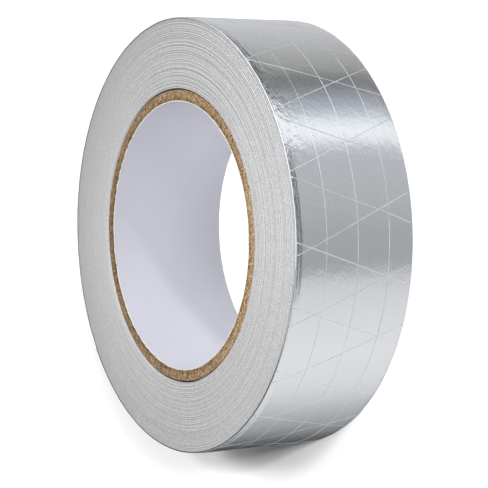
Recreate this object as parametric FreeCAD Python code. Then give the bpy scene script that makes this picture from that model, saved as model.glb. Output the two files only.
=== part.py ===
"""A roll of foil insulation tape, standing on one end face.

The tape is wound on a kraft board core whose bore is lined with white paper. All turns of the
tape are one solid. The roll's axis is +Z, the origin is the centre of the lower end face, and
the unit is the millimetre.
"""
import FreeCAD, Part
import math
import os

# Driving dimensions: millimetres, and degrees for the angle.
tape_width = 38.0         # width of the tape, which is the length of the roll along its axis
outer_diameter = 125.4    # over the last turn, where it ends
tape_thickness = 0.25     # one turn: foil, yarns, kraft paper, adhesive and release paper
tail_angle = 125.0        # where the last turn is cut off, counted from +X towards +Y
edge_round = 0.35         # rounding of the last turns along both edges of the tape
bore_diameter = 77.0      # clear bore of the lined core
lining_thickness = 0.3    # white paper that lines the core
board_thickness = 3.2     # kraft board of the core
core_recess = 0.4         # depth of each core end below the tape's end face

# Sizes that follow from them.
outer_radius = outer_diameter / 2
bore_radius = bore_diameter / 2
board_inner_radius = bore_radius + lining_thickness
board_outer_radius = board_inner_radius + board_thickness
core_length = tape_width - 2 * core_recess

AXIS = FreeCAD.Vector(0, 0, 1)
QUARTER_TURN = 90


def direction(angle):
    """Unit vector in the base plane at an angle in degrees from +X towards +Y."""
    turn = math.radians(angle)
    return FreeCAD.Vector(math.cos(turn), math.sin(turn), 0)


def tube(inner_radius, wall, length, height):
    """A plain tube about the axis that starts at a height above the base plane."""
    foot = AXIS * height
    outside = Part.makeCylinder(inner_radius + wall, length, foot, AXIS)
    inside = Part.makeCylinder(inner_radius, length, foot, AXIS)
    return outside.cut(inside)


def slice_profile(centre, plane_angle, radius):
    """Half section of the wound tape in a plane through a centre, its outer corners rounded.

    It reaches from the middle of the core out to a radius counted from the centre.
    """
    outward = direction(plane_angle)

    def point(distance, height):
        return centre + outward * distance + AXIS * height

    inner = board_inner_radius / 2
    shoulder = radius - edge_round
    bulge = radius - edge_round * (1 - math.cos(math.radians(45)))
    corner = edge_round * (1 - math.sin(math.radians(45)))
    top = tape_width
    edges = [
        Part.LineSegment(point(inner, 0), point(shoulder, 0)),
        Part.Arc(point(shoulder, 0), point(bulge, corner), point(radius, edge_round)),
        Part.LineSegment(point(radius, edge_round), point(radius, top - edge_round)),
        Part.Arc(point(radius, top - edge_round), point(bulge, top - corner), point(shoulder, top)),
        Part.LineSegment(point(shoulder, top), point(inner, top)),
        Part.LineSegment(point(inner, top), point(inner, 0)),
    ]
    return Part.Face(Part.Wire([edge.toShape() for edge in edges]))


def make_tape_winding():
    """All turns of the tape as one solid, from the core's board to the last turn.

    The outline is four quarter turns that lose one tape thickness in a whole turn. Each quarter
    is a quarter of that thickness smaller than the one before, and its centre is moved by as
    much towards the point where the two meet, so they meet smoothly. The four centres are the
    corners of a small square about the axis. The step that closes the turn is the tape's cut end.
    """
    loss = tape_thickness / 4
    corner = direction(tail_angle + QUARTER_TURN) + direction(tail_angle + 2 * QUARTER_TURN)
    centre = corner * (-loss / 2)
    radius = outer_radius
    quarters = []
    for quarter in range(4):
        start_angle = tail_angle + quarter * QUARTER_TURN
        profile = slice_profile(centre, start_angle, radius)
        quarters.append(profile.revolve(centre, AXIS, QUARTER_TURN))
        centre = centre + direction(start_angle + QUARTER_TURN) * loss
        radius = radius - loss
    turns = quarters[0].fuse(quarters[1:])
    hollow = Part.makeCylinder(board_outer_radius, tape_width)
    return turns.cut(hollow).removeSplitter()


def make_core_tube():
    """The kraft board tube that the tape is wound on."""
    return tube(board_inner_radius, board_thickness, core_length, core_recess)


def make_core_lining():
    """The white paper ply that covers the inside of the board tube."""
    return tube(bore_radius, lining_thickness, core_length, core_recess)


def export(name, shape):
    """Write one node to its STEP file."""
    shape.exportStep(os.path.join("parts", name + ".step"))


os.makedirs("parts", exist_ok=True)
export("tape_winding", make_tape_winding())
export("core_tube", make_core_tube())
export("core_lining", make_core_lining())
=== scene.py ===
"""A roll of yarn-reinforced foil tape on a lined board core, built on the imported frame."""

import math

import bpy
import numpy as np
from mathutils import Matrix, Quaternion, Vector


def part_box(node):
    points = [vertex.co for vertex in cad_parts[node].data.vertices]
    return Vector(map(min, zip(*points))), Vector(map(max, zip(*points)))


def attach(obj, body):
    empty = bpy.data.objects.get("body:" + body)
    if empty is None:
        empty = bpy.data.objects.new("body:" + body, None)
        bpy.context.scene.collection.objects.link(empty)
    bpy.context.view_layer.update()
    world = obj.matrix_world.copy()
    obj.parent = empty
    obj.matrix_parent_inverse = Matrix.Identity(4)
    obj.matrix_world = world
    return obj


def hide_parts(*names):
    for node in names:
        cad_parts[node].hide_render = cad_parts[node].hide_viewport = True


bl_info = {
    "name": "Foil tape roll",
    "version": (1, 0, 0),
    "blender": (4, 5, 0),
    "location": "View3D > Sidebar > Tape roll",
    "description": "Builds a roll of yarn-reinforced foil tape on a lined board core",
    "category": "Add Mesh",
}

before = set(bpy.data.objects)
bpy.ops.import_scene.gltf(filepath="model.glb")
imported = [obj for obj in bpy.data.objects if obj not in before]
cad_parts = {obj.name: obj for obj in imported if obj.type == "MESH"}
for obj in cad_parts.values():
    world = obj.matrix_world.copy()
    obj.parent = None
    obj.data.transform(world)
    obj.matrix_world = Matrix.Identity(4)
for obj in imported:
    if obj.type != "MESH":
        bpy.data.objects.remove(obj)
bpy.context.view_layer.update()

MM = 0.001
FULL_TURN = 2 * math.pi
BODY = "root"
WINDING = "tape_winding"
BOARD = "core_tube"
LINING = "core_lining"


def node_radii(name):
    """Smallest and largest distance of a CAD node's vertices from the roll's axis."""
    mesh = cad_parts[name].data
    points = np.zeros(len(mesh.vertices) * 3, np.float32)
    mesh.vertices.foreach_get("co", points)
    distance = np.hypot(points[0::3], points[1::3])
    return float(distance.min()), float(distance.max())


BASE, TOP = (corner.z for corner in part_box(WINDING))
CORE_LOW, CORE_HIGH = (corner.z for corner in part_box(BOARD))
REACH = node_radii(WINDING)[1]
BOARD_BORE, BOARD_RADIUS = node_radii(BOARD)
CLEAR_BORE = node_radii(LINING)[0]
TAPE_WIDTH = TOP - BASE
MIDDLE = (BASE + TOP) / 2


def figure(label, text, default, **more):
    """A number that a user may change."""
    return bpy.props.FloatProperty(name=label, description=text, default=default, **more)


def length(label, text, millimetres, most=0.05):
    """A length, with its default in millimetres."""
    size = {"unit": "LENGTH", "precision": 5, "min": 0, "soft_max": most}
    return figure(label, text, millimetres * MM, **size)


def turn(label, text, degrees):
    """An angle, with its default in degrees."""
    return figure(label, text, math.radians(degrees), unit="ROTATION")


def power(label, text, watts):
    """A light's power."""
    return figure(label, text, watts, unit="POWER", min=0)


def share(label, text, default):
    """A plain number from 0 to 1."""
    return figure(label, text, default, subtype="FACTOR", min=0, max=1)


def colour(label, text, default):
    """A colour, as linear red, green and blue."""
    return bpy.props.FloatVectorProperty(
        name=label, description=text, default=default, subtype="COLOR", size=3, min=0, max=1
    )


class TapeRollSizes(bpy.types.PropertyGroup):
    """Sizes of the roll's detail; its outline comes from the frame."""

    turn_thickness: length("Turn thickness", "Growth of the roll's radius in one turn", 0.25)
    foil_thickness: length("Foil layer", "Thickness of the last turn's strip", 0.19)
    cut_angle: turn("Cut end", "Where the last turn is cut off, from +X towards +Y", 125)
    overlap: turn("Overlap", "How far the last turn runs on under its cut end", 14)
    margin_width: length("Margin", "Width of the part along each edge that leans in", 2.2)
    margin_drop: length("Upper margin drop", "How far the upper margin leans in", 0.20)
    margin_drop_low: length("Lower margin drop", "How far the lower margin leans in", 0.08)
    edge_curl: length("Edge curl", "Radius of the curl at the foil's edge", 0.30)
    margin_ripple: length("Margin ripple", "Height of the ripples along the margin", 0.013)
    ripple_pitch: length("Ripple pitch", "Distance between the ripples", 0.80)
    margin_crinkle: length("Margin crinkle", "Height of the crinkles across the margin", 0.035)
    groove_depth: length("Groove", "Depth of the groove between two turns", 0.035)
    stagger: length("Stagger", "How far groups of turns stand above each other", 0.03)
    yarn_height: length("Yarn height", "Height of a yarn's ridge in the foil", 0.070)
    yarn_half_width: length("Yarn half width", "Half the width of a yarn's ridge", 0.21)
    yarn_first: length("First yarn", "Height of the lowest yarn around the roll", 7.9)
    yarn_gap: length("Yarn gap", "Distance between the yarns around the roll", 10.15)
    board_fray: length("Board fray", "Roughness of the board's cut ends", 0.10)
    board_chamfer: length("Board chamfer", "Wear of the outer corner of the board", 0.35)
    seam_rise: length("Seam rise", "Height that the spiral seam gains in a turn", 53, 0.1)
    seam_height: length("Seam height", "Height of the seam straight above +X", 3.1)
    lining_proud: length("Lining edge", "How far the lining stands past the board's end", 0.04)
    lining_fray: length("Lining fray", "Depth of the nicks in the lining's upper edge", 0.22)


class TapeRollFinish(bpy.types.PropertyGroup):
    """Colours and gloss of the roll's materials."""

    foil: colour("Foil", "Bare rolled aluminium foil", (0.80, 0.835, 0.87))
    foil_roughness: share("Foil roughness", "Blur of the foil's reflections", 0.13)
    # The two turn edge tones make the face's lines, which are partly the edges' own colours and
    # partly painted shade of the turns' relief.
    edge_light: colour("Turn edge, light", "Edges that stand forward", (0.76, 0.76, 0.765))
    edge_dark: colour("Turn edge, dark", "Adhesive and gaps between turns", (0.32, 0.32, 0.33))
    board_light: colour("Board, light", "Light fibres of the board", (0.59, 0.405, 0.245))
    board_dark: colour("Board, dark", "Dark fibres of the board", (0.07, 0.038, 0.014))
    paper: colour("Lining paper", "White paper that lines the bore", (0.575, 0.58, 0.64))
    paper_edge: colour("Lining edge", "Cut edge of the lining's paper", (0.84, 0.79, 0.71))


class TapeRollStudio(bpy.types.PropertyGroup):
    """Camera and light."""

    lens: figure("Lens", "Focal length in millimetres", 139.04, unit="CAMERA")
    distance: length("Distance", "From the aim point to the camera", 552.108, 5)
    azimuth: turn("Azimuth", "Direction of the view, from +Y towards +X", -2.3206)
    elevation: turn("Elevation", "How steeply the camera looks down", 31.9217)
    roll: turn("Roll", "Turn of the camera about its line of sight", 92.2827)
    aim: bpy.props.FloatVectorProperty(
        name="Aim", description="Point that the camera looks at", unit="LENGTH", size=3,
        precision=5, default=(-0.0031456, -0.0019431, 0.0160879),
    )
    key_power: power("Key light", "Small low lamp that shades the bore", 2.3)
    fill_power: power("Fill light", "Broad lamp on the +X side", 3.5)
    right_power: power("Right light", "Broad lamp between +X and -Y", 4.7)
    left_power: power("Left light", "Broad lamp between -Y and -X", 5.3)
    side_power: power("Side light", "Broad lamp on the -X side", 2.6)
    near_power: power("Near light", "Small lamp close in front", 0.085)
    floor_light: share("Floor light", "How bright the lights on the floor are", 1.0)
    bounce: share("Floor bounce", "Share of light that the floor gives matt surfaces", 0.60)
    ambient: share("Ambient", "Share of the walls' light on matt surfaces", 0.12)
    surround: share("Surround", "Strength of the studio's walls", 1.0)


# Size of the noise's table, a power of two, and primes that mix a cell's three numbers.
NOISE_TABLE = 8192
NOISE_PRIMES = (73856093, 19349663, 83492791)


def noise_at(seed, *axes):
    """Smooth noise from -1 to 1 of up to three coordinates, each divided by its cell size.

    A point blends the random values of its cell's eight corners, with s-shaped weights,
    3 t^2 - 2 t^3, along each axis.
    """
    points = np.stack(np.broadcast_arrays(*axes, *[0.0] * (3 - len(axes))), axis=-1)
    table = np.random.default_rng(seed).uniform(-1, 1, NOISE_TABLE)
    cell = np.floor(points).astype(np.int64)
    part = points - cell
    blend = part * part * (3 - 2 * part)
    total = np.zeros(points.shape[:-1])
    for corner in np.ndindex(2, 2, 2):
        mixed = (cell + corner) * NOISE_PRIMES
        key = np.bitwise_xor.reduce(mixed, axis=-1) & (NOISE_TABLE - 1)
        total += np.where(corner, blend, 1 - blend).prod(axis=-1) * table[key]
    return total


def points_round(radius, angle, height):
    """Points from a distance to the axis, an angle from +X towards +Y and a height."""
    return np.stack(
        np.broadcast_arrays(radius * np.cos(angle), radius * np.sin(angle), height), axis=-1
    )


def place_noise(seed, size, radius, angle, *up):
    """Noise at a radius and an angle, in cells of a size in millimetres."""
    east = radius * np.cos(angle) / MM / size
    north = radius * np.sin(angle) / MM / size
    return noise_at(seed, east, north, *up)


def circle(steps):
    """Evenly spaced angles of a full circle, as a column."""
    return (FULL_TURN * np.arange(steps) / steps)[:, None]


def on_roll(sizes, turned, height, radius):
    """Points on the roll from an angle past the cut end, a height and a radius."""
    return points_round(radius, sizes.cut_angle + turned, height)


def bell_curve(offset, reach):
    """A raised cosine, half (1 + cos(pi w / W)), from 1 at its middle to 0 at its reach."""
    return 0.5 * (1 + np.cos(math.pi * offset / reach))


# Uneven shapes of the foil: seed, cell along the tape and up it in millimetres, and height.
CREASE_DRIFT = (16, 6, 60, 0.05)
RIPPLE_PATCHES = (11, 9, 1.2, 0.7)
CRINKLES = (12, 1.3, 2.2, 1)
CRINKLE_PATCHES = (17, 16, math.inf, 0.9)
BROAD_WAVES = (13, 12, 10, 0.016 * MM)
CLOSE_WAVES = (14, 4, 2.6, 0.003 * MM)
STRAIN_WAVES = (15, 3.2, 5, 0.030 * MM)
# Reach of the strain from the edge, and how far the waves lie below the outline.
STRAIN_REACH = 7 * MM
WAVE_INSET = 0.03 * MM
# Softness of the margin's crease, as a share of the margin.
CREASE_SOFT = 0.05


def foil_radius(sizes, turned, height):
    """Radius of the foil's outside at an angle past the cut end and a height.

    The outline is a spiral that loses one tape thickness in a turn. From it come off a margin
    that leans in along a straight line, and the quarter circle in which it ends. Ripples along
    the margin, crinkles across it and shallow waves are added.
    """

    def uneven(seed, cell_along, cell_up, most):
        """Noise of one of the uneven shapes."""
        places = turned * REACH / (cell_along * MM), height / (cell_up * MM)
        return most * noise_at(seed, *places)

    gap = np.minimum(height - BASE, TOP - height)
    inside = np.clip(1 - gap / (sizes.margin_width * (1 + uneven(*CREASE_DRIFT))), 0, 1)
    drop = np.where(height > MIDDLE, sizes.margin_drop, sizes.margin_drop_low)
    lean = drop * (inside - CREASE_SOFT * (1 - np.exp(-inside / CREASE_SOFT)))
    rest = np.clip(1 - gap / sizes.edge_curl, 0, 1)
    curl = sizes.edge_curl * (1 - np.sqrt(1 - rest * rest))
    ripple = sizes.margin_ripple * np.sin(FULL_TURN * gap / sizes.ripple_pitch)
    ripple = ripple * np.minimum(1, 6 * inside) * (0.5 + uneven(*RIPPLE_PATCHES))
    patch = np.clip(0.45 + uneven(*CRINKLE_PATCHES), 0.08, 1)
    crinkle = sizes.margin_crinkle * patch * inside ** 0.7 * uneven(*CRINKLES)
    strain = np.clip(1 - gap / STRAIN_REACH, 0, 1) ** 2 * uneven(*STRAIN_WAVES)
    waves = uneven(*BROAD_WAVES) + uneven(*CLOSE_WAVES) + strain - WAVE_INSET
    outline = REACH - sizes.turn_thickness * turned / FULL_TURN
    return outline - lean - curl + ripple + crinkle + waves


def faces_of(*corners):
    """Faces from arrays of corner numbers, one array for each corner."""
    return np.stack(corners, axis=-1).reshape(-1, len(corners))


def shell_faces(rows, columns):
    """Quads of a thin closed shell: an outer and an inner grid, joined along their four sides.

    The outer grid's numbers run row by row, and the inner grid's follow them.
    """
    outer = np.arange(rows * columns).reshape(rows, columns)
    inner = outer + rows * columns
    return np.concatenate([
        faces_of(outer[:-1, :-1], outer[1:, :-1], outer[1:, 1:], outer[:-1, 1:]),
        faces_of(inner[:-1, :-1], inner[:-1, 1:], inner[1:, 1:], inner[1:, :-1]),
        faces_of(outer[1:, 0], outer[:-1, 0], inner[:-1, 0], inner[1:, 0]),
        faces_of(outer[:-1, -1], outer[1:, -1], inner[1:, -1], inner[:-1, -1]),
        faces_of(outer[0, :-1], outer[0, 1:], inner[0, 1:], inner[0, :-1]),
        faces_of(outer[-1, 1:], outer[-1, :-1], inner[-1, :-1], inner[-1, 1:]),
    ])


def round_faces(steps, rows, closed=True):
    """Quads of a profile carried round a full circle; an open profile's face the axis."""
    numbers = np.arange(steps * rows).reshape(steps, rows)
    ahead = np.roll(numbers, -1, axis=0)
    corners = [numbers, ahead, np.roll(ahead, -1, axis=1), np.roll(numbers, -1, axis=1)]
    faces = np.stack(corners, axis=-1)
    if not closed:
        faces = faces[:, :-1, [0, 3, 2, 1]]
    return faces.reshape(-1, 4)


def new_object(name, data):
    """An object in the scene for a mesh, a light or a camera."""
    made = bpy.data.objects.new(name, data)
    bpy.context.scene.collection.objects.link(made)
    return made


def mesh_object(name, points, faces, material):
    """An object with a mesh of points and faces."""
    mesh = bpy.data.meshes.new(name)
    mesh.from_pydata(np.reshape(points, (-1, 3)).tolist(), [], faces)
    mesh.materials.append(material)
    return new_object(name, mesh)


def make_piece(name, points, faces, material, node, slot, sharp=50, tape_place=None, turns=None):
    """A smooth piece that rides on the roll and stands for a CAD node.

    Edges sharper than sharp, in degrees, stay crisp. For every point, tape_place has its position
    across and along the tape, from 0 to 1, and turns the number of turns from the outside.
    """
    piece = mesh_object(name, points, faces.tolist(), material)
    mesh = piece.data
    mesh.shade_smooth()
    mesh.set_sharp_from_angle(angle=math.radians(sharp))
    if tape_place is not None:
        corners = np.asarray(tape_place, np.float32).reshape(-1, 2)[faces.ravel()]
        mesh.uv_layers.new(name="tape").data.foreach_set("uv", corners.ravel())
    if turns is not None:
        attribute = mesh.attributes.new("turns", "FLOAT", "POINT")
        attribute.data.foreach_set("value", np.asarray(turns, np.float32))
    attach(piece, BODY)
    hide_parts(node)


def fill(node, inputs):
    """Gives a shader node's inputs values, or links from other nodes' outputs."""
    for key, value in inputs.items():
        socket = node.inputs[key]
        if isinstance(value, bpy.types.NodeSocket):
            node.id_data.links.new(value, socket)
        else:
            socket.default_value = value


def add_node(near, kind, inputs=None, **settings):
    """Adds a shader node to the tree of a node or output near it, and returns its outputs."""
    made = near.id_data.nodes.new(kind)
    for key, value in settings.items():
        setattr(made, key, value)
    fill(made, inputs or {})
    return made.outputs


def ramp(factor, stops):
    """A colour ramp from a list of positions and colours."""
    shade = add_node(factor, "ShaderNodeValToRGB", {"Fac": factor})["Color"]
    elements = shade.node.color_ramp.elements
    while len(elements) < len(stops):
        elements.new(0.5)
    for element, (position, value) in zip(elements, stops):
        element.position = position
        element.color = (*value, 1)
    return shade


def spread(value, low, high, first=0.0, last=1.0, smooth=False):
    """A value from low to high mapped to one from first to last, and held beyond them."""
    inputs = {"Value": value, "From Min": low, "From Max": high, "To Min": first, "To Max": last}
    kind = "SMOOTHSTEP" if smooth else "LINEAR"
    return add_node(value, "ShaderNodeMapRange", inputs, interpolation_type=kind)[0]


def maths(operation, *values):
    """A math node's output; the first value is another node's."""
    inputs = dict(enumerate(values))
    return add_node(values[0], "ShaderNodeMath", inputs, operation=operation)[0]


def weighted(base, *terms):
    """A base value plus each term's value times its share."""
    for value, part in terms:
        base = maths("MULTIPLY_ADD", value, part, base)
    return base


def noise(place, scale, detail=2.0, roughness=0.5, dimensions="3D"):
    """Noise from about -0.5 to 0.5, with scale cells to the metre."""
    inputs = {"Scale": scale, "Detail": detail, "Roughness": roughness}
    inputs["W" if dimensions == "1D" else "Vector"] = place
    grey = add_node(place, "ShaderNodeTexNoise", inputs, noise_dimensions=dimensions)[0]
    return maths("SUBTRACT", grey, 0.5)


def scaled(vector, scale):
    """A vector multiplied axis by axis."""
    return add_node(vector, "ShaderNodeMapping", {"Vector": vector, "Scale": scale})[0]


def toned(shade, tone):
    """A colour made darker or lighter by a tone."""
    inputs = {0: shade, "Scale": tone}
    return add_node(tone, "ShaderNodeVectorMath", inputs, operation="SCALE")[0]


def mixed_colour(factor, first, last):
    """A colour between two others."""
    return add_node(factor, "ShaderNodeMix", {0: factor, 6: first, 7: last}, data_type="RGBA")[2]


def bump(height, distance, below=None, strength=1.0):
    """Relief from a height, on top of the relief below it."""
    inputs = {"Strength": strength, "Distance": distance, "Height": height}
    if below is not None:
        inputs["Normal"] = below
    return add_node(height, "ShaderNodeBump", inputs)[0]


def own_place(shader):
    """The place on a piece, in metres."""
    return add_node(shader, "ShaderNodeTexCoord")["Object"]


def parts_of(place):
    """The X, Y and Z of a place."""
    return tuple(add_node(place, "ShaderNodeSeparateXYZ", {0: place}))


def compass_ramp(ahead, aside, table):
    """A colour ramp round the compass, for the angle from the ahead part to the aside part.

    Each row of the table holds degrees from -180 to 180, a brightness, and a tint if it has one.
    """
    position = weighted(0.5, (maths("ARCTAN2", aside, ahead), 1 / FULL_TURN))
    stops = [
        ((degrees + 180) / 360, [tone * part for part in (tint[0] if tint else (1, 1, 1))])
        for degrees, tone, *tint in table
    ]
    return ramp(position, stops)


def new_material(name):
    """A node material and its principled shader."""
    material = bpy.data.materials.new(name)
    material.use_nodes = True
    return material, material.node_tree.nodes["Principled BSDF"]


def strip_length(sizes):
    """Length of the last turn's strip, with what runs on under its cut end."""
    return (FULL_TURN + sizes.overlap) * REACH


def tape_place(sizes, turned, height):
    """Positions across and along the last turn, each from 0 to 1."""
    across = (height - BASE) / TAPE_WIDTH
    along = turned / (FULL_TURN + sizes.overlap)
    return np.stack([across, along], axis=-1).reshape(-1, 2)


# Where the roll was gripped, as a share of the strip, and the extra blur of rubbed foil.
GRIP_PLACE = 0.495
RUBBED_BLUR = 0.12


def foil_material(sizes, finish, rubbed=False):
    """Rolled foil: a bright metal with streaks along the tape in its gloss, tone and relief.

    It is crushed near the upper edge, where the roll was gripped, and rubbed dull over yarns.
    """
    material, shader = new_material("rubbed_foil" if rubbed else "rolled_foil")
    place = add_node(shader, "ShaderNodeUVMap", uv_map="tape")[0]
    across, along, _ = parts_of(place)
    flat = scaled(place, (TAPE_WIDTH / MM, strip_length(sizes) / MM, 1))

    def flat_noise(cells_across, cells_along, detail=2.0, roughness=0.5):
        """Noise in cells to the millimetre, across the tape and along it."""
        return noise(scaled(flat, (cells_across, cells_along, 1)), 1, detail, roughness, "2D")

    streaks = flat_noise(3.4, 0.11, 3, 0.6)
    haze = flat_noise(0.55, 0.02)
    grain = flat_noise(2.2, 0.9, 3, 0.6)
    dents = flat_noise(0.42, 0.35)
    crushed = flat_noise(0.75, 0.38)
    blur = finish.foil_roughness + (RUBBED_BLUR if rubbed else 0)
    blur = spread(across, 0.1, 0.9, blur + 0.035, blur - 0.02)
    near_edge = spread(across, 0.74, 0.97, smooth=True)
    from_grip = maths("ABSOLUTE", maths("SUBTRACT", along, GRIP_PLACE))
    gripped = spread(from_grip, 0.025, 0.085, 1.0, 0.10, smooth=True)
    relief = bump(streaks, 0.010 * MM)
    relief = bump(grain, 0.030 * MM, relief)
    relief = bump(dents, 0.035 * MM, relief)
    relief = bump(crushed, 0.20 * MM, relief, maths("MULTIPLY", near_edge, gripped))
    fill(shader, {
        "Base Color": toned(finish.foil, spread(streaks, -0.25, 0.25, 0.96, 1.0)),
        "Roughness": weighted(blur, (streaks, 0.16), (haze, 0.10)),
        "Metallic": spread(dents, -0.2, 0.2, 0.78, 0.90) if rubbed else 1.0,
        "Normal": relief,
    })
    return material


# How strongly the turns' lines show, as painted raking light: degrees from +X towards +Y, and a
# share.
RAKING_LIGHT_LINES = (
    (-180, 0.65), (-150, 0.38), (-120, 0.42), (-90, 0.52), (-60, 0.60), (-40, 1.05), (-20, 1.55),
    (0, 1.25), (20, 0.75), (40, 0.12), (60, 0.08), (140, 0.08), (160, 0.30), (180, 0.65),
)
# Turns from one fine light line to the next, and how far the lines wander, in radians.
PAIR_PITCH = 2.3
PAIR_WANDER = 9.0
# The turns next to the board, counted from the outside, which are lighter.
FIRST_TURNS = (78.4, 79.2)


def turn_edge_material(finish):
    """Cut edges of paper, adhesive and foil: light and dark lines along the turns, and grain.

    The lines are partly the edges' own colours and partly painted shade of their relief; how
    strongly they show by direction is painted raking light. Painted light falloff makes the inner
    turns a little lighter, and the innermost turns are lighter still.
    """
    material, shader = new_material("turn_edges")
    turns = add_node(
        shader, "ShaderNodeAttribute", attribute_name="turns", attribute_type="GEOMETRY"
    )["Fac"]
    place = own_place(shader)
    east, north, _ = parts_of(place)
    bundles = noise(turns, 0.85, 0, 0.5, "1D")
    single = noise(turns, 1.5, 0, 0.5, "1D")
    wander = noise(turns, 0.30, 1, 0.5, "1D")
    speckle = noise(place, 2200, 2, 0.6)
    patches = noise(place, 45)
    phase = weighted(PAIR_WANDER / 2, (turns, FULL_TURN / PAIR_PITCH), (wander, PAIR_WANDER))
    # The lines are partly the edges' own colours and partly painted shade of the turns' relief.
    lines = weighted(0.0, (bundles, 0.48), (single, 0.40), (maths("SINE", phase), 0.06))
    # Painted raking light: the lines and the speckle show more strongly where light would fall
    # across the turns.
    raking_light = compass_ramp(east, north, RAKING_LIGHT_LINES)
    strength = maths("MULTIPLY", spread(patches, -0.15, 0.15, 2.5, 6.0), raking_light)
    speckle_raking_light = spread(raking_light, 0.08, 0.60, 0.85, 1.5)
    tone = weighted(0.5, (lines, strength), (speckle, speckle_raking_light))
    # Painted light falloff: the face is lighter towards +Y and darker towards +X, and lighter
    # inwards and darker outwards, most towards +Y.
    inwards = spread(turns, 0.0, 80.0, -1.0, 1.0)
    painted_falloff = spread(north, -20 * MM, 50 * MM, 0.02, 0.15)
    painted_north_light = spread(north, 0.0, 50 * MM, 1.0, 1.05)
    tone_and_painted_light = weighted(painted_north_light, (inwards, painted_falloff), (spread(east, 0.0, 50 * MM), -0.03))
    tone_and_painted_light = maths("MULTIPLY", tone_and_painted_light, spread(turns, *FIRST_TURNS, 1.0, 1.16))
    fill(shader, {
        "Base Color": toned(ramp(tone, [(0, finish.edge_dark), (1, finish.edge_light)]), tone_and_painted_light),
        "Roughness": 0.5,
        "Specular IOR Level": 0.4,
        "Normal": bump(speckle, 0.03 * MM, bump(lines, 0.05 * MM)),
    })
    return material


# Shades of the board's fibres: a place in the grain, and how light the fibre is.
FIBRES = ((0.36, 0.0), (0.44, 0.30), (0.52, 0.55), (0.62, 1.0))


def board_material(finish):
    """Kraft board: brown fibres cut across, darker and lighter, and scuffed at the bore."""
    material, shader = new_material("kraft_board")
    place = own_place(shader)
    grain = noise(place, 1900, 2, 0.6)
    clumps = noise(place, 800)
    drift = noise(place, 90)
    level = {0: scaled(place, (1, 1, 0))}
    radius = add_node(place, "ShaderNodeVectorMath", level, operation="LENGTH")["Value"]
    fade = (BOARD_BORE + 0.2 * MM, BOARD_BORE + 1.6 * MM)
    scuffed = spread(radius, *fade, 0.06, 0.0, smooth=True)
    fibres = weighted(0.5, (grain, 0.62), (clumps, 0.26), (drift, 0.12), (scuffed, -1.0))
    dark = Vector(finish.board_dark)
    shades = [(position, dark.lerp(finish.board_light, light)) for position, light in FIBRES]
    # Painted light: the board's end is made lighter towards -Y and darker towards +Y.
    painted_side_light = spread(parts_of(place)[1], -40 * MM, 40 * MM, 1.22, 0.85)
    fill(shader, {
        "Base Color": toned(ramp(fibres, shades), painted_side_light),
        "Roughness": 0.85,
        "Specular IOR Level": 0.2,
        "Normal": bump(grain, 0.15 * MM),
    })
    return material


def paper_material(finish):
    """Smooth white paper with a trace of fibre, and a cream cut edge."""
    material, shader = new_material("white_paper")
    place = own_place(shader)
    fibre = noise(place, 900, 3, 0.6)
    cloud = noise(place, 60)
    at_edge = spread(parts_of(place)[2], CORE_HIGH - 0.30 * MM, CORE_HIGH - 0.16 * MM)
    sheet = mixed_colour(at_edge, (*finish.paper, 1), (*finish.paper_edge, 1))
    fill(shader, {
        "Base Color": toned(sheet, weighted(1.0, (fibre, 0.04), (cloud, 0.05))),
        "Roughness": 0.55,
        "Specular IOR Level": 0.35,
        "Normal": bump(fibre, 0.01 * MM),
    })
    return material


TURN_STEPS = 320
TURN_ROWS = 3
FOIL_SLACK = 0.05 * MM
FOIL_ROOM = 0.12 * MM
RELIEF_ROOM = 0.14 * MM
# Sizes of the end face's uneven places, in millimetres, and of its groups of turns, in turns.
FACE_PATCH = 24
FACE_GRAIN = 1.7
LARGE_GROUP = 1.9
SMALL_GROUP = 0.9
SLOW_GROUP = 8.0


def turn_depth(sizes, seed, count, radius, angle, groove):
    """How far below the end of the roll the edge of a turn lies.

    The height drifts slowly along the tape, and each joint between two turns is a groove.
    """
    local = 0.75 + 0.65 * place_noise(seed, FACE_PATCH, radius, angle)
    groups = noise_at(seed + 1, count / LARGE_GROUP) + 0.5 * noise_at(seed + 2, count / SMALL_GROUP)
    slow = 0.05 * noise_at(seed + 3, count / SLOW_GROUP)
    rough = 0.35 * place_noise(seed + 4, FACE_GRAIN, radius, angle)
    lift = sizes.stagger * (local * (groups + slow) + rough)
    return np.clip(RELIEF_ROOM - lift + sizes.groove_depth * groove, 0, None)


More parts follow.
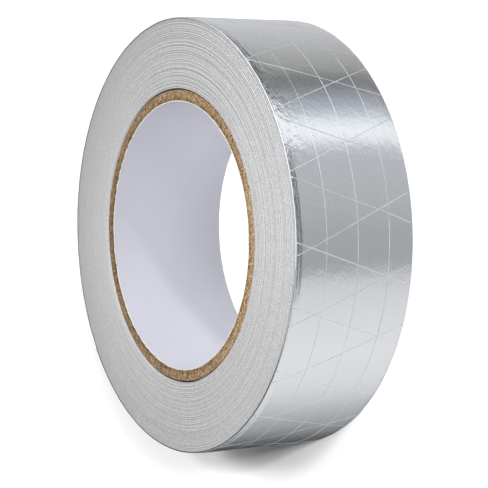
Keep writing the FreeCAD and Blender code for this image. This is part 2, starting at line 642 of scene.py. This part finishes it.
def wound_turns(sizes, upper, seed):
    """The cut edges of the turns at one end, on a ring that reaches to half height.

    A turn's edge is carried along a spiral, whose radius falls by one thickness in a turn, and
    each turn's inner side is the next one's outer side. The ring widens below the edge, under the
    foil. Returns points, quads and the number of turns from the outside.
    """
    thick = sizes.turn_thickness
    drop = sizes.margin_drop if upper else sizes.margin_drop_low
    start = REACH - drop - sizes.edge_curl - FOIL_SLACK
    whole = int((start - BOARD_RADIUS) / thick) - 1
    steps = whole * TURN_STEPS

    columns, rows = np.meshgrid(np.arange(steps + 1), np.arange(TURN_ROWS), indexing="ij")
    column = np.append(columns, np.arange(steps - TURN_STEPS, steps) + 1)
    row = np.append(rows, np.full(TURN_STEPS, TURN_ROWS))
    counts = column / TURN_STEPS + row / TURN_ROWS
    turned = FULL_TURN * column / TURN_STEPS
    radius = start - thick * counts
    depth = turn_depth(sizes, seed, counts, radius, turned + sizes.cut_angle, row % TURN_ROWS == 0)
    face = on_roll(sizes, turned, TOP - depth, radius)

    def point(column, row):
        """Number of a point of the face; a turn's last row is the first row of the next turn."""
        column = column + TURN_STEPS * (row // TURN_ROWS)
        ended = (steps + 1) * (TURN_ROWS - 1) + column
        return np.where(column <= steps, column * TURN_ROWS + row % TURN_ROWS, ended)

    c, r = columns[:-1], rows[:-1]
    back = np.arange(TURN_ROWS - 1, 0, -1)
    outer_loop = np.append(point(np.arange(TURN_STEPS + 1), 0), point(0, back))
    last_round = np.arange(steps - TURN_STEPS, steps + 1)
    inner_loop = np.append(point(last_round, TURN_ROWS), point(steps, back))

    size = len(outer_loop)
    widen = REACH - sizes.foil_thickness - FOIL_ROOM - start
    shoulder = face[outer_loop]
    from_axis = np.hypot(shoulder[:, :1], shoulder[:, 1:2])
    shoulder[:, :2] *= (from_axis + widen) / from_axis
    shoulder[:, 2] = TOP - sizes.margin_width
    evenly = circle(size)[:, 0]
    outer_foot = on_roll(sizes, evenly, MIDDLE, start + widen - thick)
    inner_foot = on_roll(sizes, evenly, MIDDLE, start - thick * (whole + 1))
    shoulder_loop, outer_foot_loop, inner_foot_loop = (
        len(face) + np.arange(3 * size).reshape(3, size)
    )

    def wall(high, low):
        """Quads between two closed loops."""
        return faces_of(np.roll(high, -1), high, low, np.roll(low, -1))

    faces = np.concatenate([
        faces_of(point(c, r), point(c + 1, r), point(c + 1, r + 1), point(c, r + 1)),
        wall(outer_loop, shoulder_loop),
        wall(shoulder_loop, outer_foot_loop),
        wall(inner_loop, inner_foot_loop)[:, ::-1],
        wall(outer_foot_loop, inner_foot_loop),
    ])
    points = np.concatenate([face, shoulder, outer_foot, inner_foot])
    turns = np.concatenate([counts, counts[outer_loop], counts[outer_loop], counts[inner_loop]])
    if not upper:
        points[:, 2] = BASE + TOP - points[:, 2]
        faces = faces[:, ::-1]
    return points, faces, turns


class TAPEROLL_OT_wound_turns(bpy.types.Operator):
    """Add the wound turns, whose cut edges show at both ends of the roll"""

    bl_idname = "taperoll.wound_turns"
    bl_label = "Wound turns"

    def execute(self, context):
        sizes = context.scene.tape_roll_sizes
        material = turn_edge_material(context.scene.tape_roll_finish)
        ends = (("wound_turns_upper", True, 21), ("wound_turns_lower", False, 31))
        for name, *end in ends:
            points, faces, turns = wound_turns(sizes, *end)
            make_piece(name, points, faces, material, WINDING, "foil_tape", turns=turns)
        return {"FINISHED"}


FOIL_STEP = math.radians(0.70)
UPPER_ROWS = 28
LOWER_ROWS = 6
CURL_ROWS = 7
FIELD_ROWS = 36
EDGE_GAP = 0.03 * MM
# The close rows reach a little past the margin's crease, by this factor.
PAST_CREASE = 1.03


def foil_rows(sizes):
    """Heights of the foil's rows: even over the field, closer on the margins and the curls."""
    bend = 1 - np.sin(np.linspace(math.pi / 2, 0, CURL_ROWS))
    curl = EDGE_GAP + (sizes.edge_curl - EDGE_GAP) * bend
    crease = PAST_CREASE * sizes.margin_width
    upper = np.linspace(sizes.edge_curl, crease, UPPER_ROWS)[1:]
    lower = np.linspace(sizes.edge_curl, crease, LOWER_ROWS)[1:]
    field = np.linspace(BASE + lower[-1], TOP - upper[-1], FIELD_ROWS)[1:-1]
    return np.concatenate([BASE + curl, BASE + lower, field, TOP - upper[::-1], TOP - curl[::-1]])


class TAPEROLL_OT_last_turn(bpy.types.Operator):
    """Add the last turn of foil, which runs on under its cut end"""

    bl_idname = "taperoll.last_turn"
    bl_label = "Last turn of foil"

    def execute(self, context):
        sizes = context.scene.tape_roll_sizes
        whole = FULL_TURN + sizes.overlap
        turned = np.linspace(0, whole, int(whole / FOIL_STEP) + 1)[:, None]
        turned, height = np.broadcast_arrays(turned, foil_rows(sizes))
        radius = foil_radius(sizes, turned, height)
        outer = on_roll(sizes, turned, height, radius)
        inner = on_roll(sizes, turned, height, radius - sizes.foil_thickness)
        place = tape_place(sizes, turned, height)
        make_piece(
            "last_turn_foil", np.concatenate([outer, inner]), shell_faces(*turned.shape),
            foil_material(sizes, context.scene.tape_roll_finish), WINDING, "foil_tape",
            sharp=60, tape_place=np.concatenate([place, place]),
        )
        return {"FINISHED"}


RIDGE_ROWS = 9
RIDGE_SINK = 0.02 * MM
ROUND_YARNS = 3
SLANT_STEPS = 70
# Distances of the yarns' ends from the edges of the tape and from the strip's two ends.
YARN_END = 0.45 * MM
STRIP_END = 0.3 * MM
# Distance between the points of a yarn that runs around, and the step for a surface's slope.
ROUND_STEP = 0.8 * MM
SLOPE_STEP = 0.05 * MM
# Cell of the yarns' uneven height, and how far a yarn wavers and over what length.
YARN_PATCH = 13 * MM
ROUND_WAVER = 0.16 * MM
ROUND_WAVER_CELL = 45 * MM
SLANT_WAVER = 0.12 * MM
SLANT_WAVER_CELL = 7 * MM
# Slanted families: height's seed, first place, gap, count, lean and drift's seed.
SLANTED = (
    ("yarns_slant_back", 61, -7.267 * MM, 19.0 * MM, 23, -0.43, 6050),
    ("yarns_slant_ahead", 71, -10.5375 * MM, 18.0 * MM, 24, 0.35, 131842),
)
# Most that a slanted yarn strays from its even place, and that its lean varies.
SLANT_STRAY = 2.2
LEAN_STRAY = 0.02


def ridges(sizes, along, height, seed):
    """Ridges where yarns lift the foil, from the yarns' paths along the tape and up it.

    A raised-cosine profile is carried along each path. Its sides sink just below the foil, and
    its height drifts along the yarn. Returns points, quads and tape places.
    """
    yarns, steps = along.shape
    run = np.gradient(along, axis=1)
    rise = np.gradient(height, axis=1)
    step = np.hypot(run, rise)
    offset = np.linspace(1, -1, RIDGE_ROWS) * sizes.yarn_half_width
    turned = (along[..., None] + (rise / step)[..., None] * offset) / REACH
    up = height[..., None] - (run / step)[..., None] * offset
    number = np.arange(yarns)[:, None]
    fade = 0.85 + 0.40 * noise_at(seed, along / YARN_PATCH, height / YARN_PATCH, number * 3.7)
    lift = sizes.yarn_height * np.clip(fade, 0.6, 1.15)
    lift = lift[..., None] * bell_curve(offset, sizes.yarn_half_width) - RIDGE_SINK
    radius = foil_radius(sizes, turned, up)
    above = foil_radius(sizes, turned, up + SLOPE_STEP)
    below = foil_radius(sizes, turned, up - SLOPE_STEP)
    slope = (above - below) / (2 * SLOPE_STEP)
    tilt = 1 / np.sqrt(1 + slope * slope)

    def raised(amount):
        """The ridges' points, raised straight off the foil's sloping surface."""
        points = on_roll(sizes, turned, up - amount * slope * tilt, radius + amount * tilt)
        return points.reshape(yarns, -1, 3)

    points = np.stack([raised(lift), raised(np.full_like(lift, -2 * RIDGE_SINK))], axis=1)
    place = tape_place(sizes, turned, up).reshape(yarns, -1, 2)
    first = np.arange(yarns) * 2 * steps * RIDGE_ROWS
    faces = shell_faces(steps, RIDGE_ROWS)[None] + first[:, None, None]
    return points.reshape(-1, 3), faces.reshape(-1, 4), np.stack([place, place], axis=1)


def round_paths(sizes):
    """Paths of the yarns that run around the roll, level but for a slow waver."""
    strip = strip_length(sizes)
    along = np.linspace(0.2 * MM, strip - 0.2 * MM, int(strip / ROUND_STEP))
    number = np.arange(ROUND_YARNS)[:, None]
    waver = noise_at(41, along / ROUND_WAVER_CELL, number * 4.3)
    height = sizes.yarn_first + sizes.yarn_gap * number + ROUND_WAVER * waver
    return np.broadcast_to(along, height.shape), height


def slanted_paths(sizes, first, gap, amount, lean, seed):
    """Paths of one slanted family: straight lines that waver, in even gaps with a small drift."""
    random = np.random.default_rng(seed)
    drift = random.uniform(-SLANT_STRAY, SLANT_STRAY, amount)
    leans = lean + random.uniform(-LEAN_STRAY, LEAN_STRAY, amount)
    number = np.arange(amount)
    middle = first + gap * number + drift * MM
    height = np.linspace(BASE + YARN_END, TOP - YARN_END, SLANT_STEPS)
    along = middle[:, None] + leans[:, None] * (height - MIDDLE)
    height = np.broadcast_to(height, along.shape)
    waver = noise_at(seed + 5, height / SLANT_WAVER_CELL, number[:, None] * 2.3)
    along = along + SLANT_WAVER * waver
    last = strip_length(sizes) - STRIP_END
    inside = (along.min(axis=1) > STRIP_END) & (along.max(axis=1) < last)
    return along[inside], height[inside]


class TAPEROLL_OT_yarns(bpy.types.Operator):
    """Add the ridges of the yarns, three around the roll and two slanted families"""

    bl_idname = "taperoll.yarns"
    bl_label = "Yarn ridges"

    def execute(self, context):
        sizes = context.scene.tape_roll_sizes
        material = foil_material(sizes, context.scene.tape_roll_finish, rubbed=True)
        families = [("yarns_around", 51, round_paths(sizes))]
        for name, seed, *layout in SLANTED:
            families.append((name, seed, slanted_paths(sizes, *layout)))
        for name, seed, paths in families:
            points, faces, place = ridges(sizes, *paths, seed)
            make_piece(
                name, points, faces, material, WINDING, "foil_tape", sharp=180, tape_place=place
            )
        return {"FINISHED"}


BOARD_STEPS = 1200
BOARD_ROWS = 15
# Gaps between the board's walls and the lining and the tape.
BORE_GAP = 0.01 * MM
TAPE_GAP = 0.02 * MM
# Where the three points of a wall stand, as shares of the board's height.
WALL_PLACES = np.array([0.04, 0.5, 0.96])
# Sizes of fibres, clumps of them and the ragged edge's nicks, in millimetres.
FIBRE_SIZE = 0.42
CLUMP_SIZE = 0.9
RAGGED_SIZE = 0.7


class TAPEROLL_OT_core_board(bpy.types.Operator):
    """Add the kraft board tube, with rough cut ends and frayed edges"""

    bl_idname = "taperoll.core_board"
    bl_label = "Core board"

    def execute(self, context):
        """Carry a closed profile round: outer wall, upper end, inner wall and lower end."""
        sizes = context.scene.tape_roll_sizes
        across = np.linspace(0, 1, BOARD_ROWS)
        inner = BOARD_BORE + BORE_GAP
        outer = BOARD_RADIUS - TAPE_GAP
        plain = np.zeros(len(WALL_PLACES))
        end = np.ones(BOARD_ROWS)
        wall = CORE_LOW + (CORE_HIGH - CORE_LOW) * WALL_PLACES
        radius = np.concatenate([
            plain + outer, outer + (inner - outer) * across,
            plain + inner, inner + (outer - inner) * across,
        ])
        height = np.concatenate([wall, end * CORE_HIGH, wall[::-1], end * CORE_LOW])
        on_end = np.concatenate([plain, end, plain, end])
        edge = np.concatenate([plain, 2 * across - 1, plain, 1 - 2 * across])
        angle = circle(BOARD_STEPS)
        level = height / MM
        fibre = place_noise(81, FIBRE_SIZE, radius, angle, level)
        fibre = fibre + 0.6 * place_noise(82, CLUMP_SIZE, radius, angle, level)
        side = np.sign(height - (CORE_LOW + CORE_HIGH) / 2)
        chamfer = (radius > outer - 0.1 * MM) * sizes.board_chamfer
        rough = sizes.board_fray * (0.55 * fibre - 0.75 - 0.9 * np.abs(edge) ** 6)
        nicks = place_noise(83, RAGGED_SIZE, radius, angle, level)
        ragged = on_end * 0.5 * sizes.board_fray * nicks
        wide = radius + ragged * (np.abs(edge) > 0.99) * np.sign(edge)
        points = points_round(wide, angle, height + on_end * side * (rough - chamfer))
        faces = round_faces(BOARD_STEPS, len(radius))
        material = board_material(context.scene.tape_roll_finish)
        make_piece("core_board", points, faces, material, BOARD, "kraft_board")
        return {"FINISHED"}


LINING_STEPS = 900
LINING_ROWS = 12
LINING_FOOT = 0.03 * MM
RIM_DROP = 0.04 * MM
# Slow drift of the lining's surface, and its cells round the bore, in millimetres, and up it.
BOW_DEPTH = 0.03 * MM
BOW_CELL = 16
BOW_RISE = 20 * MM
# Sizes of the small and large nicks in the lining's edge, in millimetres.
SMALL_NICK = 0.8
LARGE_NICK = 2.4
SEAM_STEPS = 240
SEAM_ROWS = 7
SEAM_HALF_WIDTH = 0.28 * MM
SEAM_HEIGHT = 0.05 * MM
# How far the seam ends from the roll's base and the board's end, and how deep it is set.
SEAM_END = 0.6 * MM
SEAM_SINK = 0.01 * MM
SEAM_BACK = 0.06 * MM


def lining_bow(angle, height):
    """Slow in and out drift of the lining's surface."""
    return BOW_DEPTH * place_noise(91, BOW_CELL, CLEAR_BORE, angle, height / BOW_RISE)


def lining_seam(sizes):
    """The raised joint of the spiral-wound lining: a helix whose height grows with its angle.

    A raised-cosine profile stands in from the bore, and its back lies just behind the surface.
    """
    middle = np.linspace(BASE + SEAM_END, CORE_HIGH - SEAM_END, SEAM_STEPS)[:, None]
    offset = np.linspace(1, -1, SEAM_ROWS) * SEAM_HALF_WIDTH
    angle = FULL_TURN * (middle - sizes.seam_height) / sizes.seam_rise
    angle, height = np.broadcast_arrays(angle, middle + offset)
    wall = CLEAR_BORE + lining_bow(angle, height)
    front = wall + SEAM_SINK - SEAM_HEIGHT * bell_curve(offset, SEAM_HALF_WIDTH)
    grids = [points_round(radius, angle, height) for radius in (front, wall + SEAM_BACK)]
    return np.concatenate(grids), shell_faces(SEAM_STEPS, SEAM_ROWS)


class TAPEROLL_OT_bore_lining(bpy.types.Operator):
    """Add the white paper that lines the bore, with uneven edges and its spiral seam"""

    bl_idname = "taperoll.bore_lining"
    bl_label = "Bore lining"

    def execute(self, context):
        """Carry a closed profile round: up beside the board and down beside the bore."""
        sizes = context.scene.tape_roll_sizes
        material = paper_material(context.scene.tape_roll_finish)
        low = BASE + LINING_FOOT
        high = CORE_HIGH + sizes.lining_proud
        rise = (high - low) * np.linspace(0, 1, LINING_ROWS)
        radius = np.repeat([BOARD_BORE, CLEAR_BORE], LINING_ROWS)
        height = np.concatenate([low + rise, high - rise])
        angle, height = np.broadcast_arrays(circle(LINING_STEPS), height)
        rim = height > 0.999 * high
        torn = place_noise(92, SMALL_NICK, radius, angle)
        torn = torn + 0.8 * place_noise(93, LARGE_NICK, radius, angle)
        nicks = rim * sizes.lining_fray * np.clip(0.45 + 0.6 * torn, 0, 1)
        wide = radius + lining_bow(angle, height)
        points = points_round(wide, angle, height - nicks - RIM_DROP * rim)
        faces = round_faces(*height.shape)
        make_piece("bore_lining", points, faces, material, LINING, "white_paper")
        make_piece("lining_seam", *lining_seam(sizes), material, LINING, "white_paper")
        return {"FINISHED"}


FLOOR_RADIUS = 5.5
BACKDROP_RADIUS = 5.0
STAGE_RINGS = 24
STAGE_STEPS = 96
# How far the backdrop reaches below the floor, as a share of its quarter circle.
BACKDROP_FOOT = 0.02
SUN_DISTANCE = 3.0
# Lamps on the roll: degrees from +X towards +Y, degrees up, distance, and size in metres.
LAMPS = {
    "key": (-14, 19, 0.9, 0.09),
    "fill": (0, 40, 1.2, 0.5),
    "right": (-45, 28, 1.2, 0.5),
    "left": (-135, 30, 1.2, 0.5),
    "side": (180, 36, 1.2, 0.5),
    "near": (-75, 38, 0.2, 0.06),
}
# Even lights on the floor: the same two angles, softness in degrees, and strength.
FLOOR_LIGHTS = (
    (-76, 26, 3, 0.62), (-74, 29, 6, 0.96), (-70, 42, 3, 1.20), (-55, 60, 10, 1.62),
    (30, 70, 20, 0.48),
)
# The walls that the foil mirrors: degrees from -Y towards +X, brightness, and tint.
WARM = (1.035, 1.0, 1.0)
COOL = (0.99, 1.0, 1.08)
EARTHY = (1.03, 1.0, 0.96)
LOW_WALLS = (
    (-180, 0.07), (-162, 0.07), (-150, 0.11), (-138, 0.22), (-126, 0.38), (-110, 0.55),
    (-98, 0.73), (-88, 0.84, WARM), (-66, 0.90, WARM), (-44, 0.83, WARM), (-30, 0.76, WARM),
    (-23, 0.71, WARM), (-20, 0.44), (0, 0.465), (16, 0.54), (34, 0.575), (47, 0.585, COOL),
    (50, 1.12), (61, 1.10), (65, 0.66, COOL), (74, 0.455, COOL), (84, 0.27), (92.5, 0.17),
    (94.5, 0.40, EARTHY), (104, 0.43, EARTHY), (122, 0.56, WARM), (146, 0.65), (166, 0.67),
    (180, 0.08),
)
MARGIN_WALLS = (
    (-180, 0.40), (-140, 0.70), (-110, 0.92), (-36, 0.88), (-28, 0.34), (-16, 0.16), (34, 0.14),
    (41, 0.24), (48, 1.1), (64, 1.1), (72, 0.20), (104, 0.10), (128, 0.26), (150, 0.42),
    (180, 0.40),
)
LEVEL_WALLS = (
    (-180, 0.16), (-150, 0.16), (-122, 0.36), (-100, 0.40), (-26, 0.42), (-16, 0.85), (0, 0.95),
    (34, 1.00), (46, 1.3), (72, 1.3), (90, 1.05), (118, 0.95), (140, 0.45), (168, 0.28),
    (180, 0.16),
)
HIGH_WALLS = (
    (-180, 0.14), (-110, 0.10), (-24, 0.10), (-12, 1.3), (56, 1.5), (140, 1.4), (160, 0.35),
    (180, 0.14),
)
# The bands of walls from below, each with the degrees above the horizon where it comes in.
BANDS = (
    (-78, -58, LOW_WALLS), (-27, -22, MARGIN_WALLS), (-12, -7, LEVEL_WALLS), (12, 18, HIGH_WALLS),
)
ZENITH_BAND = (45, 70)
NADIR = (0.36, 0.36, 0.36, 1)
ZENITH = (1.1, 1.1, 1.1, 1)


def stage_object(name, points, faces, material):
    """A mesh of the studio, which the foil doesn't mirror."""
    made = mesh_object(name, points, faces, material)
    made.visible_glossy = False
    return made


def is_matt_ray(near):
    """1 for light that matt surfaces gather, and 0 for other light."""
    return add_node(near, "ShaderNodeLightPath")["Is Diffuse Ray"]


def floor_material(bounce):
    """Pale floor that throws only a share of its light back on matt surfaces."""
    material, shader = new_material("studio_floor")
    cloud = spread(noise(own_place(shader), 3), -0.3, 0.3, 0.90, 0.92)
    fill(shader, {
        "Base Color": maths("MULTIPLY", cloud, spread(is_matt_ray(shader), 0, 1, 1, bounce)),
        "Roughness": 1.0,
        "Specular IOR Level": 0.0,
    })
    return material


def add_floor(studio):
    """A flat disc of rings, whose radii grow with the square of their number."""
    reach = FLOOR_RADIUS * (np.arange(1, STAGE_RINGS + 1) / STAGE_RINGS) ** 2
    points = points_round(reach, circle(STAGE_STEPS), BASE).reshape(-1, 3)
    rim = np.arange(STAGE_STEPS) * STAGE_RINGS
    fan = faces_of(np.full(STAGE_STEPS, len(points)), rim, np.roll(rim, -1))
    faces = round_faces(STAGE_STEPS, STAGE_RINGS, closed=False).tolist() + fan.tolist()
    points = np.concatenate([points, [[0, 0, BASE]]])
    return stage_object("studio_floor", points, faces, floor_material(studio.bounce))


def backdrop_material():
    """Evenly lit white wall behind everything."""
    material, shader = new_material("studio_backdrop")
    nodes = material.node_tree.nodes
    glow = add_node(shader, "ShaderNodeEmission", {"Color": (1, 1, 1, 1), "Strength": 1.0})[0]
    fill(nodes["Material Output"], {"Surface": glow})
    nodes.remove(shader)
    return material


def add_backdrop():
    """A half sphere round the stage that only the camera sees."""
    up = np.linspace(-BACKDROP_FOOT, 1, STAGE_RINGS) * math.pi / 2
    dome = BACKDROP_RADIUS * points_round(np.cos(up), circle(STAGE_STEPS), np.sin(up))
    faces = round_faces(STAGE_STEPS, STAGE_RINGS, closed=False).tolist()
    backdrop = stage_object("studio_backdrop", dome, faces, backdrop_material())
    backdrop.visible_diffuse = False
    backdrop.visible_transmission = False
    backdrop.visible_shadow = False


def light_group(name, members):
    """A collection of objects for a light's linking."""
    group = bpy.data.collections.new(name)
    for member in members:
        group.objects.link(member)
    return group


def add_light(name, kind, azimuth, elevation, distance, energy, receivers):
    """Adds a light that points at the roll's middle and lights the receivers only.

    Azimuth is in degrees from +X towards +Y. The foil mirrors the walls and not the lights.
    """
    made = new_object(name, bpy.data.lights.new(name, kind))
    made.data.energy = energy
    up = math.radians(elevation)
    toward = Vector(points_round(math.cos(up), math.radians(azimuth), math.sin(up)))
    place = Vector((0, 0, MIDDLE)) + toward * distance
    made.matrix_world = Matrix.LocRotScale(place, toward.to_track_quat("Z", "Y"), None)
    made.visible_camera = False
    made.visible_glossy = False
    made.light_linking.receiver_collection = receivers
    return made


def add_lights(studio, floor, pieces):
    """Soft round lamps that light the roll, and even lights that light the floor.

    Only the last turn of foil shades the floor, so the floor inside the bore stays lit.
    """
    roll = light_group("lit_roll", pieces)
    ground = light_group("lit_floor", [floor])
    shade = light_group("floor_shade", [bpy.data.objects["last_turn_foil"]])
    for name, (azimuth, elevation, distance, size) in LAMPS.items():
        watts = getattr(studio, name + "_power")
        lamp = add_light(name, "AREA", azimuth, elevation, distance, watts, roll)
        lamp.data.shape = "DISK"
        lamp.data.size = size
    for number, (azimuth, elevation, softness, strength) in enumerate(FLOOR_LIGHTS):
        name = f"floor_{number}"
        energy = studio.floor_light * strength
        sun = add_light(name, "SUN", azimuth, elevation, SUN_DISTANCE, energy, ground)
        sun.data.angle = math.radians(softness)
        sun.light_linking.blocker_collection = shade


def add_world(studio):
    """The studio round the roll: bands of walls, one above the other."""
    world = bpy.data.worlds.new("studio")
    bpy.context.scene.world = world
    world.use_nodes = True
    background = world.node_tree.nodes["Background"]
    place = add_node(background, "ShaderNodeTexCoord")["Generated"]
    east, north, up = parts_of(place)
    south = maths("MULTIPLY", north, -1.0)

    def above(start, end):
        """Goes from 0 to 1 between two angles above the horizon, in degrees."""
        return spread(up, *np.sin(np.radians([start, end])), smooth=True)

    view = NADIR
    for start, end, walls in BANDS:
        view = mixed_colour(above(start, end), view, compass_ramp(south, east, walls))
    view = mixed_colour(above(*ZENITH_BAND), view, ZENITH)
    dimming = studio.surround * (studio.ambient - 1)
    strength = weighted(studio.surround, (is_matt_ray(background), dimming))
    fill(background, {"Color": view, "Strength": strength})


def add_camera(studio):
    """The camera, turned about its line of sight, at its distance from the aim point."""
    level = math.cos(studio.elevation)
    east = math.sin(studio.azimuth) * level
    north = math.cos(studio.azimuth) * level
    forward = Vector((east, north, -math.sin(studio.elevation)))
    camera = new_object("camera", bpy.data.cameras.new("camera"))
    camera.data.lens = studio.lens
    camera.data.sensor_width = 36.0
    camera.data.clip_start = 0.01
    camera.data.clip_end = 100.0
    place = Vector(studio.aim) - forward * studio.distance
    turned = forward.to_track_quat("-Z", "Y") @ Quaternion((0, 0, 1), -studio.roll)
    camera.matrix_world = Matrix.LocRotScale(place, turned, None)
    bpy.context.scene.camera = camera


class TAPEROLL_OT_studio(bpy.types.Operator):
    """Add the floor, the backdrop, the lights and the camera"""

    bl_idname = "taperoll.studio"
    bl_label = "Studio"

    def execute(self, context):
        studio = context.scene.tape_roll_studio
        context.scene.view_settings.view_transform = "Standard"
        pieces = [item for item in context.scene.objects if item.type == "MESH"]
        floor = add_floor(studio)
        add_backdrop()
        add_lights(studio, floor, pieces)
        add_world(studio)
        add_camera(studio)
        return {"FINISHED"}


class TAPEROLL_PT_sidebar(bpy.types.Panel):
    """Lists the sizes, the finishes and the operators in the sidebar"""

    bl_idname = "TAPEROLL_PT_sidebar"
    bl_label = "Tape roll"
    bl_space_type = "VIEW_3D"
    bl_region_type = "UI"
    bl_category = "Tape roll"

    def draw(self, context):
        for name, group in GROUPS:
            box = self.layout.box()
            for key in group.__annotations__:
                box.prop(getattr(context.scene, name), key)
        for operator in OPERATORS:
            self.layout.operator(operator.bl_idname)


OPERATORS = (
    TAPEROLL_OT_wound_turns,
    TAPEROLL_OT_last_turn,
    TAPEROLL_OT_yarns,
    TAPEROLL_OT_core_board,
    TAPEROLL_OT_bore_lining,
    TAPEROLL_OT_studio,
)
GROUPS = (
    ("tape_roll_sizes", TapeRollSizes),
    ("tape_roll_finish", TapeRollFinish),
    ("tape_roll_studio", TapeRollStudio),
)


def register():
    """Registers the property groups, the operators and the panel."""
    for name, group in GROUPS:
        bpy.utils.register_class(group)
        setattr(bpy.types.Scene, name, bpy.props.PointerProperty(type=group))
    for operator in OPERATORS:
        bpy.utils.register_class(operator)
    bpy.utils.register_class(TAPEROLL_PT_sidebar)


def unregister():
    """Removes what register added, in the opposite order."""
    bpy.utils.unregister_class(TAPEROLL_PT_sidebar)
    for operator in reversed(OPERATORS):
        bpy.utils.unregister_class(operator)
    for name, group in reversed(GROUPS):
        delattr(bpy.types.Scene, name)
        bpy.utils.unregister_class(group)


def main():
    """Builds the roll and the studio."""
    register()
    bpy.ops.taperoll.wound_turns()
    bpy.ops.taperoll.last_turn()
    bpy.ops.taperoll.yarns()
    bpy.ops.taperoll.core_board()
    bpy.ops.taperoll.bore_lining()
    bpy.ops.taperoll.studio()


if __name__ == "__main__":
    main()
